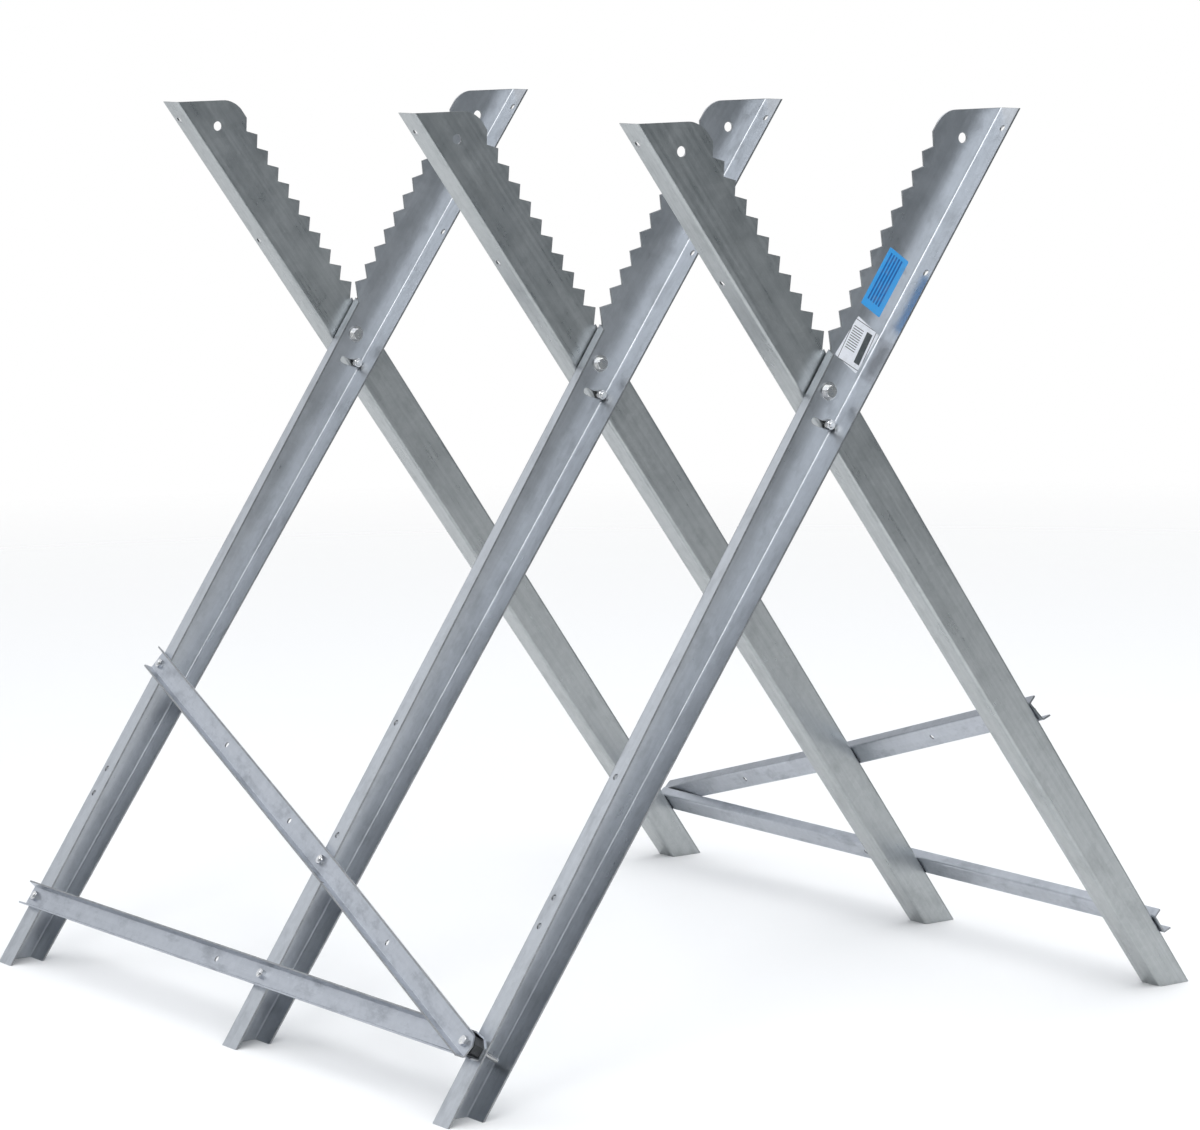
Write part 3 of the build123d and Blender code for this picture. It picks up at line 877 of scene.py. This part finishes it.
def handling_marks():
    """Scuffs and hairline scratches from stacking and carrying, in two leaning directions."""
    group, start, end = new_group("handling_marks", {"Wear": 0.5}, ("Scratches", "Smears"))
    place = start["Place"]
    lines = None
    for lean, turn in SCRATCH_LEANS:
        leaned = mapped(group, place, "Rotation", (lean, turn * lean, lean / 2))
        hair = spread_range(group, noise(group, leaned, *HAIRLINES), *HAIR_SPAN)
        where = spread_range(group, noise(group, leaned, *HAIR_PLACES), *HAIR_PLACES_SPAN)
        hair = calc(group, "MULTIPLY", hair, where)
        lines = hair if lines is None else calc(group, "MAXIMUM", lines, hair)
    group.links.new(calc(group, "MULTIPLY", lines, start["Wear"], clamp=True), end["Scratches"])
    smear = spread_range(group, noise(group, place, *SMEARS), *SMEAR_SPAN)
    group.links.new(calc(group, "MULTIPLY", smear, start["Wear"], clamp=True), end["Smears"])
    return group


def rolled_waves():
    """Slow unevenness of thin sheet after folding, as a height."""
    group, start, end = new_group("rolled_waves", {}, ("Relief",))
    slow = noise(group, start["Place"], *SLOW_WAVES)
    pits = noise(group, start["Place"], *PITS)
    relief = plus_share(group, slow, pits, PIT_SHARE)
    group.links.new(relief, end["Relief"])
    return group


GROUPS = {"bloom": zinc_bloom(), "lines": drawn_lines(), "marks": handling_marks(), "waves": rolled_waves()}


def place_group(tree, name, place, **values):
    node = add_node(tree, "ShaderNodeGroup", node_tree=GROUPS[name])
    tree.links.new(place, node.inputs["Place"])
    for label, value in values.items():
        node.inputs[label].default_value = value
    return node.outputs


def grain_place(tree, turns):
    """Object coordinates turned so that Z runs along the piece."""
    place = add_node(tree, "ShaderNodeTexCoord").outputs["Object"]
    for turn in turns:
        place = mapped(tree, place, "Rotation", turn)
    return place


def tinted(tree, amount, dark, light):
    """A colour between two, by a value from -1 to 1."""
    ramp = add_node(tree, "ShaderNodeMix", data_type="RGBA")
    tree.links.new(spread_range(tree, amount, -1.0, 1.0), ramp.inputs["Factor"])
    ramp.inputs[6].default_value = (*dark, 1)
    ramp.inputs[7].default_value = (*light, 1)
    return ramp.outputs[2]


def blended(tree, factor, first, second):
    """One colour over another where a mask says so."""
    mix = add_node(tree, "ShaderNodeMix", data_type="RGBA")
    tree.links.new(factor, mix.inputs["Factor"])
    for socket, value in ((mix.inputs[6], first), (mix.inputs[7], second)):
        if isinstance(value, tuple):
            socket.default_value = (*value, 1)
        else:
            tree.links.new(value, socket)
    return mix.outputs[2]


def bumped(tree, height, strength, distance, normal=None):
    node = add_node(tree, "ShaderNodeBump")
    node.inputs["Strength"].default_value = strength
    node.inputs["Distance"].default_value = distance
    tree.links.new(height, node.inputs["Height"])
    if normal is not None:
        tree.links.new(normal, node.inputs["Normal"])
    return node.outputs["Normal"]


def new_material(name, metallic, roughness):
    material = bpy.data.materials.new(name)
    material.use_nodes = True
    tree = material.node_tree
    shader = tree.nodes["Principled BSDF"]
    shader.inputs["Metallic"].default_value = metallic
    shader.inputs["Roughness"].default_value = roughness
    return material, tree, shader


def galvanised_sheet(name, turns, dark, light, streaks=0.6, patches=0.5, wear=0.5, roughness=0.34):
    """Dull zinc-coated sheet: cloudy bloom, faint crystals, drawn lines, scuffs."""
    material, tree, shader = new_material(name, 1.0, roughness)
    place = grain_place(tree, turns)
    bloom = place_group(tree, "bloom", place, Patches=patches, Crystals=CRYSTALS)
    lines = place_group(tree, "lines", place, Fineness=streaks)
    marks = place_group(tree, "marks", place, Wear=wear)
    waves = place_group(tree, "waves", place)
    tone = calc(tree, "ADD", bloom["Tone"], lines["Streaks"])
    colour = tinted(tree, tone, dark, light)
    colour = blended(tree, marks["Smears"], colour, tuple(c * SMEAR_SHADE for c in dark))
    colour = blended(tree, marks["Scratches"], colour, tuple(c * SCRATCH_LIFT for c in light))
    rough = plus_share(tree, roughness - ROUGH_BASE_DROP, bloom["Dullness"], ROUGH_BY_DULLNESS)
    rough = plus_share(tree, rough, lines["Streaks"], ROUGH_BY_LINES)
    rough = plus_share(tree, rough, marks["Smears"], ROUGH_BY_MARKS)
    smoother = calc(tree, "MULTIPLY", marks["Scratches"], ROUGH_BY_MARKS)
    rough = calc(tree, "SUBTRACT", rough, smoother, clamp=True)
    normal = bumped(tree, waves["Relief"], *WAVE_RELIEF)
    normal = bumped(tree, lines["Relief"], *LINE_RELIEF, normal)
    normal = bumped(tree, marks["Scratches"], *SCRATCH_RELIEF, normal)
    feed(tree, shader, colour, rough, normal)
    return material


# Colours of the bare cut faces: real bare steel, darkened as painted shade along the sheet's cut edges.
CUT_SHADED_DARK = (0.20, 0.21, 0.22)
CUT_SHADED_LIGHT = (0.42, 0.43, 0.44)
PLATE_COOL = (0.58, 0.59, 0.62)
PLATE_WARM = (0.72, 0.72, 0.70)
PLATE_DULL = (0.40, 0.41, 0.43)
BLACK_BASE = (0.016, 0.018, 0.020)
BLACK_RUBBED = (0.055, 0.060, 0.064)


def bare_cut():
    """Where the shear or punch went through: bare steel with short marks across the sheet, its colour
    painted much darker than bright steel as painted shade along the cut edges.
    """
    material, tree, shader = new_material("bare_cut_steel_shaded", 1.0, 0.36)
    place = grain_place(tree, [])
    grain = noise(tree, place, *CUT_GRAIN)
    patch = noise(tree, place, *CUT_PATCHES)
    tone = calc(tree, "ADD", evened(tree, grain, -0.6, 0.6), evened(tree, patch, -0.5, 0.5))
    rough = evened(tree, grain, 0.28, 0.46)
    feed(tree, shader, tinted(tree, tone, CUT_SHADED_DARK, CUT_SHADED_LIGHT), rough, bumped(tree, grain, *CUT_RELIEF))
    return material


def plated_fastener():
    """Bright zinc plate with a faint cool and warm bloom and fine machining."""
    material, tree, shader = new_material("bright_zinc_plate", 1.0, 0.24)
    place = grain_place(tree, [])
    fine = noise(tree, place, *PLATE_FINE)
    colour = tinted(tree, evened(tree, noise(tree, place, *PLATE_BLOOM)), PLATE_COOL, PLATE_WARM)
    spots = spread_range(tree, noise(tree, place, *PLATE_SPOTS), *SPOT_SPAN)
    dull = calc(tree, "MULTIPLY", spots, 0.5)
    colour = blended(tree, dull, colour, PLATE_DULL)
    rough = plus_share(tree, evened(tree, fine, 0.17, 0.27), dull, ROUGH_BY_MARKS)
    feed(tree, shader, colour, rough, bumped(tree, fine, *PLATE_RELIEF))
    return material


def moulded_black():
    """Fine-grained black moulding, greyer where it was rubbed."""
    material, tree, shader = new_material("moulded_black", 0.0, 0.5)
    place = grain_place(tree, [])
    grain = noise(tree, place, *MOULD_GRAIN)
    rub = spread_range(tree, noise(tree, place, *MOULD_RUBS), *RUB_SPAN)
    colour = blended(tree, rub, BLACK_BASE, BLACK_RUBBED)
    feed(tree, shader, colour, evened(tree, grain, 0.42, 0.58), bumped(tree, grain, *MOULD_RELIEF))
    return material


LEG_GRAIN = {"front": [(0, -LEG_TILT, 0)], "rear": [(0, LEG_TILT, 0)]}
# Dark and light zinc colour and wear for each side's legs. The rear legs get a darker, less blue copy of the
# same zinc: painted shade.
LEG_TONES_AND_SHADE = {
    "front": ((0.415, 0.435, 0.46), (0.55, 0.575, 0.61), 0.5),
    "rear": ((0.36, 0.38, 0.385), (0.49, 0.51, 0.515), 0.95),
}
BRACE_FINISH = {
    "dark": (0.42, 0.445, 0.485), "light": (0.56, 0.585, 0.63),
    "streaks": 0.5, "patches": 0.7, "wear": 0.8, "roughness": 0.38,
}

leg_zinc = {}
lower_zinc = {}
diagonal_zinc = {}
for side_name, grain in LEG_GRAIN.items():
    leg_zinc[side_name] = galvanised_sheet(f"{side_name}_leg_zinc", grain, *LEG_TONES_AND_SHADE[side_name])
    lower_zinc[side_name] = galvanised_sheet(
        f"{side_name}_lower_brace_zinc", [(pi / 2, 0, 0)], **BRACE_FINISH)
    slope_angle = diagonal_run(side_name)[1]
    along_face = (BRACE_FACE.to_3x3() @ Matrix.Rotation(-slope_angle, 3, "Z")) @ Vector((1, 0, 0))
    along_world = on_side(side_name).to_3x3() @ along_face
    to_z = along_world.rotation_difference(Vector((0, 0, 1))).to_euler("XYZ")
    diagonal_zinc[side_name] = galvanised_sheet(
        f"{side_name}_diagonal_brace_zinc", [tuple(to_z)], **BRACE_FINISH)
cut_steel = bare_cut()
bright_zinc = plated_fastener()
black_moulding = moulded_black()


PRINT_EDGE = 0.08 * MM
WHITE_PAPER = (0.86, 0.88, 0.93)
BLUE_PAPER = (0.05, 0.36, 0.80)
GREY_INK = (0.05, 0.052, 0.055)
BLOCK_INK = (0.05, 0.06, 0.065)
DEEP_INK = (0.012, 0.12, 0.40)
LABEL_DUST = (0.30, 0.30, 0.29)
PAPER_SHADE = 0.94
# Printing in millimetres from a label's middle, as the functions below take it.
WHITE_FRAME = (13.3, 19.1, 0.6)
WHITE_RULES = (-11.0, 0.5, 12.5, 2.2, 10, 0.7)
WHITE_BLOCK = (4.0, 10.5, -14.5, 14.5)
BLUE_BARS = (-8.5, 3.3, 5, -21.0, 24.5, 1.8)


def label_place(tree, label, turn):
    """Coordinates on a label, in metres from its middle: x across, z along the leg."""
    low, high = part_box(label)
    middle = [(a + b) / 2 for a, b in zip(low, high)]
    place = add_node(tree, "ShaderNodeMapping", vector_type="TEXTURE")
    place.inputs["Location"].default_value = middle
    place.inputs["Rotation"].default_value = (0, LEG_TILT + radians(turn), 0)
    tree.links.new(add_node(tree, "ShaderNodeTexCoord").outputs["Object"], place.inputs["Vector"])
    parts = add_node(tree, "ShaderNodeSeparateXYZ")
    tree.links.new(place.outputs["Vector"], parts.inputs[0])
    return parts.outputs["X"], parts.outputs["Z"]


def within(tree, value, low, high):
    """1 between two places, 0 outside them, with a printed edge."""
    middle = (low + high) / 2
    off = calc(tree, "ABSOLUTE", calc(tree, "SUBTRACT", value, middle))
    return spread_range(tree, off, (high - low) / 2 + PRINT_EDGE, (high - low) / 2 - PRINT_EDGE)


def printed_block(tree, x, z, box):
    left, right, bottom, top = (side * MM for side in box)
    return calc(tree, "MULTIPLY", within(tree, x, left, right), within(tree, z, bottom, top))


def together(tree, masks):
    whole = masks[0]
    for mask in masks[1:]:
        whole = calc(tree, "MAXIMUM", whole, mask)
    return whole


def label_stock(name, label, turn, paper, inks):
    """Glossy printed film: flat areas of ink, a little dust and handling dulling."""
    material, tree, shader = new_material(name, 0.0, 0.35)
    x, z = label_place(tree, label, turn)
    place = grain_place(tree, [])
    fibre = noise(tree, place, *PAPER_FIBRE)
    dirt = spread_range(tree, noise(tree, place, *PAPER_DIRT), *DIRT_SPAN)
    colour = tinted(tree, evened(tree, fibre), tuple(c * PAPER_SHADE for c in paper), paper)
    for ink, boxes in inks:
        mask = together(tree, [printed_block(tree, x, z, box) for box in boxes])
        colour = blended(tree, mask, colour, ink)
    colour = blended(tree, calc(tree, "MULTIPLY", dirt, 0.25), colour, LABEL_DUST)
    rough = spread_range(tree, dirt, 0, 1, 0.30, 0.48)
    feed(tree, shader, colour, rough, bumped(tree, fibre, *PAPER_RELIEF))
    return material


def rules(left, right, first, gap, count, thick):
    """A stack of plain bars, as boxes: left, right, bottom, top."""
    return [(left, right, first - n * gap, first - n * gap + thick) for n in range(count)]


def bands(left, gap, count, bottom, top, thick):
    """Plain bars along the label, side by side."""
    return [(left + n * gap, left + n * gap + thick, bottom, top) for n in range(count)]


def frame_line(half_wide, half_high, thick):
    """The four sides of a thin printed frame."""
    wide, high = half_wide - thick, half_high - thick
    return [(-half_wide, -wide, -half_high, half_high), (wide, half_wide, -half_high, half_high),
            (-half_wide, half_wide, -half_high, -high), (-half_wide, half_wide, high, half_high)]


white_stock = label_stock(
    "white_label_stock", "white_label", WHITE_LABEL_TURN, WHITE_PAPER,
    [(GREY_INK, frame_line(*WHITE_FRAME)), (GREY_INK, rules(*WHITE_RULES)), (BLOCK_INK, [WHITE_BLOCK])])
blue_stock = label_stock(
    "blue_label_stock", "blue_label", 0.0, BLUE_PAPER,
    [(DEEP_INK, bands(*BLUE_BARS))])


# ======== the pieces ========

def plated(name, bm, body, node):
    """A fastener, bright zinc plated all over."""
    return finished(name, bm, [bright_zinc, bright_zinc], body, [node])


leg_shape = make_leg()
for side_name in ("front", "rear"):
    body_name = f"{side_name}_frame"
    for stop in STATION_NAMES:
        node_name = f"{side_name}_leg_{stop}"
        place = on_side(side_name, STATIONS[stop]) @ Matrix.Translation((0, -WEB_GAP / 2, 0))
        finished(f"{node_name}_sheet", copied(leg_shape, place), [leg_zinc[side_name], cut_steel],
                 body_name, [node_name])
    finished(f"{side_name}_lower_channel", lower_brace(side_name), [lower_zinc[side_name], cut_steel],
             body_name, [f"{side_name}_lower_brace"])
    finished(f"{side_name}_diagonal_channel", diagonal_brace(side_name),
             [diagonal_zinc[side_name], cut_steel], body_name, [f"{side_name}_diagonal_brace"])
leg_shape.free()

BRACE_BOLT_LENGTH = SHEET + BRACE_SHEET + NUT_M5 + THREAD_END
PIVOT_SEAT = WEB_FACE + WASHER_T
LIMIT_SEAT = WEB_FACE + RUNNING_GAP
FLAT_TO_FLANGE = radians(30) - LEG_TILT

brace_bolt = bolt(BOLT_M5, PITCH_M5, HEX_M5, HEAD_M5, BRACE_BOLT_LENGTH)
small_nut = nut(HEX_M5, NUT_M5, BOLT_M5)
for side_name in ("front", "rear"):
    body_name = f"{side_name}_frame"
    joints = joint_places(side_name)
    flip = Matrix.Rotation(pi, 4, "X")
    bolts = [copied(brace_bolt, on_brace_face(side_name, y, s, -SHEET) @ flip) for y, s in joints]
    plated(f"{side_name}_joint_bolts", gathered(bolts), body_name, f"{side_name}_brace_bolts")
    nuts = []
    for (y, s), angle in zip(joints, BRACE_NUT_TURNS):
        nuts.append(copied(small_nut, on_brace_face(side_name, y, s, BRACE_SHEET) @ turned(angle)))
    plated(f"{side_name}_joint_nuts", gathered(nuts), body_name, f"{side_name}_brace_nuts")
    seat = corner_seat(side_name)
    apex_y = side_stations(side_name)[0]
    long_bolt = bolt(BOLT_M5, PITCH_M5, HEX_M5, HEAD_M5, seat + SHEET + CORNER_BOLT_REACH)
    move(long_bolt, on_brace_face(side_name, apex_y, LOWER_HOLE, seat))
    plated(f"{side_name}_corner_long_bolt", long_bolt, body_name, f"{side_name}_corner_bolt")
    inner_nut = copied(small_nut, on_brace_face(side_name, apex_y, LOWER_HOLE, -SHEET) @ flip)
    plated(f"{side_name}_corner_hex_nut", inner_nut, body_name, f"{side_name}_corner_nut")

pivot_length = PIVOT_SEAT + LIMIT_SEAT + WASHER_T + LOCK_NUT_M6 + THREAD_END
pivot_shape = bolt(BOLT_M6, PITCH_M6, HEX_M6, HEAD_M6, pivot_length)
lock_shape = lock_nut()
limit_shape = bolt(BOLT_M5, PITCH_M5, HEX_M5, HEAD_M5, 2 * LIMIT_SEAT + NUT_M5 + THREAD_END)
thick_washer = washer(WASHER_T)
thin_washer = washer(SPACER_T)
washers = []
spacers = []
for stop, y in STATIONS.items():
    pivot_head = copied(pivot_shape, facing(y - PIVOT_SEAT, -1) @ turned(PIVOT_HEAD_TURN))
    plated(f"pivot_hex_bolt_{stop}", pivot_head, "front_frame", f"pivot_bolt_{stop}")
    pivot_lock = copied(lock_shape, facing(y + LIMIT_SEAT + WASHER_T, 1))
    plated(f"pivot_lock_nut_{stop}", pivot_lock, "front_frame", f"pivot_nut_{stop}")
    limit_bolt = copied(limit_shape, facing(y + LIMIT_SEAT, 1, SLOT_RADIUS) @ turned(FLAT_TO_FLANGE))
    plated(f"limit_hex_screw_{stop}", limit_bolt, f"limit_{stop}", f"limit_screw_{stop}")
    limit_lock = copied(small_nut, facing(y - LIMIT_SEAT, -1, SLOT_RADIUS) @ turned(FLAT_TO_FLANGE))
    plated(f"limit_hex_nut_{stop}", limit_lock, f"limit_{stop}", f"limit_nut_{stop}")
    washers.append(copied(thick_washer, facing(y - WEB_FACE - WASHER_T / 2, -1)))
    washers.append(copied(thick_washer, facing(y + LIMIT_SEAT + WASHER_T / 2, -1)))
    spacers.append(copied(thin_washer, facing(y - WEB_GAP / 2 + SPACER_T / 2, -1)))
plated("pivot_plain_washers", gathered(washers), "front_frame", "pivot_washers")
plated("pivot_spacer_washers", gathered(spacers), "front_frame", "pivot_spacers")
for shape in (brace_bolt, small_nut, pivot_shape, lock_shape, limit_shape, thick_washer, thin_washer):
    shape.free()

for side_name in ("front", "rear"):
    spacer = frame["nodes"][f"{side_name}_corner_spacer"]
    for slot in spacer.material_slots:
        slot.material = black_moulding
for label_name, stock in (("white_label", white_stock), ("blue_label", blue_stock)):
    for slot in frame["nodes"][label_name].material_slots:
        slot.material = stock


# ======== stage ========

FLOOR_R = 3.8
FLOOR_CLEAR_R = 1.6
FLOOR_TONE = (0.84, 0.845, 0.85, 1)
# Name, place, size, brightness and colour of each panel.
LIGHTS = (
    ("behind_left", (-3.4, 4.4, 4.4), (5.2, 5.2), 0.60, (0.96, 0.98, 1.0)),
    ("overhead", (0.4, -0.3, 4.6), (7.5, 7.5), 1.45, (1.0, 1.0, 1.0)),
    ("front_left", (-2.5, -2.4, 3.4), (1.3, 1.3), 5.5, (1.0, 1.0, 1.0)),
    ("front_high", (-1.0, -3.2, 2.9), (2.6, 1.8), 2.0, (0.98, 0.99, 1.0)),
)
AIR_DARK = (0.22, 0.24, 0.255)
AIR_PALE = (0.54, 0.555, 0.58)
PALE_WAY = Vector((-0.1, 0.85, 0.5)).normalized()
BACKDROP = (1.0, 1.0, 1.0)
CAMERA_PLACE = Vector((-2.400, -3.522, 0.970))
CAMERA_TURN = radians(-34.56)
CAMERA_TIP = radians(-7.87)
CAMERA_LEAN = radians(-0.87)
CAMERA_LENS = 140.5
CAMERA_SENSOR = 36.0


def make_floor():
    """A round pale floor."""
    bm = bmesh.new()
    bmesh.ops.create_circle(bm, cap_ends=True, segments=96, radius=FLOOR_R)
    mesh = as_mesh("studio_floor", bm)
    material, tree, shader = new_material("pale_floor", 0.0, 0.75)
    shader.inputs["Base Color"].default_value = FLOOR_TONE
    out = add_node(tree, "ShaderNodeVectorMath", operation="LENGTH")
    tree.links.new(add_node(tree, "ShaderNodeTexCoord").outputs["Object"], out.inputs[0])
    fade = spread_range(tree, out.outputs["Value"], FLOOR_R, FLOOR_CLEAR_R)
    tree.links.new(fade, shader.inputs["Alpha"])
    mesh.materials.append(material)
    in_scene("studio_floor", mesh)


def soft_light(name, place, size, brightness, colour):
    """A large soft panel aimed at the middle of the stand; brightness is the panel's own."""
    data = bpy.data.lights.new(name, "AREA")
    data.shape = "RECTANGLE"
    data.size, data.size_y = size
    data.energy = brightness * pi * size[0] * size[1]
    data.color = colour
    light = in_scene(name, data)
    aim = (Vector((0, 0, TOP_HEIGHT / 2)) - Vector(place)).to_track_quat("-Z", "Y")
    light.matrix_world = Matrix.Translation(place) @ aim.to_matrix().to_4x4()


def make_air():
    """Pale behind and above, darker towards the front, plain and pale where it is seen straight on."""
    world = bpy.data.worlds.new("studio_air")
    world.use_nodes = True
    tree = world.node_tree
    toward = add_node(tree, "ShaderNodeVectorMath", operation="DOT_PRODUCT")
    tree.links.new(add_node(tree, "ShaderNodeTexCoord").outputs["Generated"], toward.inputs[0])
    toward.inputs[1].default_value = PALE_WAY
    colour = blended(tree, spread_range(tree, toward.outputs["Value"], -0.75, 0.55), AIR_DARK, AIR_PALE)
    seen = add_node(tree, "ShaderNodeLightPath").outputs["Is Camera Ray"]
    colour = blended(tree, seen, colour, BACKDROP)
    tree.links.new(colour, tree.nodes["Background"].inputs["Color"])
    scene.world = world


def make_camera():
    """Low three-quarter view from the front legs' side, standing well back."""
    level = cos(CAMERA_TIP)
    ahead = Vector((-sin(CAMERA_TURN) * level, cos(CAMERA_TURN) * level, sin(CAMERA_TIP)))
    right = ahead.cross(Vector((0, 0, 1))).normalized()
    up = right.cross(ahead)
    right_leaned = right * cos(CAMERA_LEAN) + up * sin(CAMERA_LEAN)
    up_leaned = up * cos(CAMERA_LEAN) - right * sin(CAMERA_LEAN)
    data = bpy.data.cameras.new("camera")
    data.sensor_width = CAMERA_SENSOR
    data.lens = CAMERA_LENS
    camera = in_scene("camera", data)
    axes = Matrix((right_leaned, up_leaned, -ahead)).transposed().to_4x4()
    camera.matrix_world = Matrix.Translation(CAMERA_PLACE) @ axes
    scene.camera = camera


make_floor()
for light in LIGHTS:
    soft_light(*light)
make_air()
make_camera()
scene.view_settings.view_transform = "Standard"
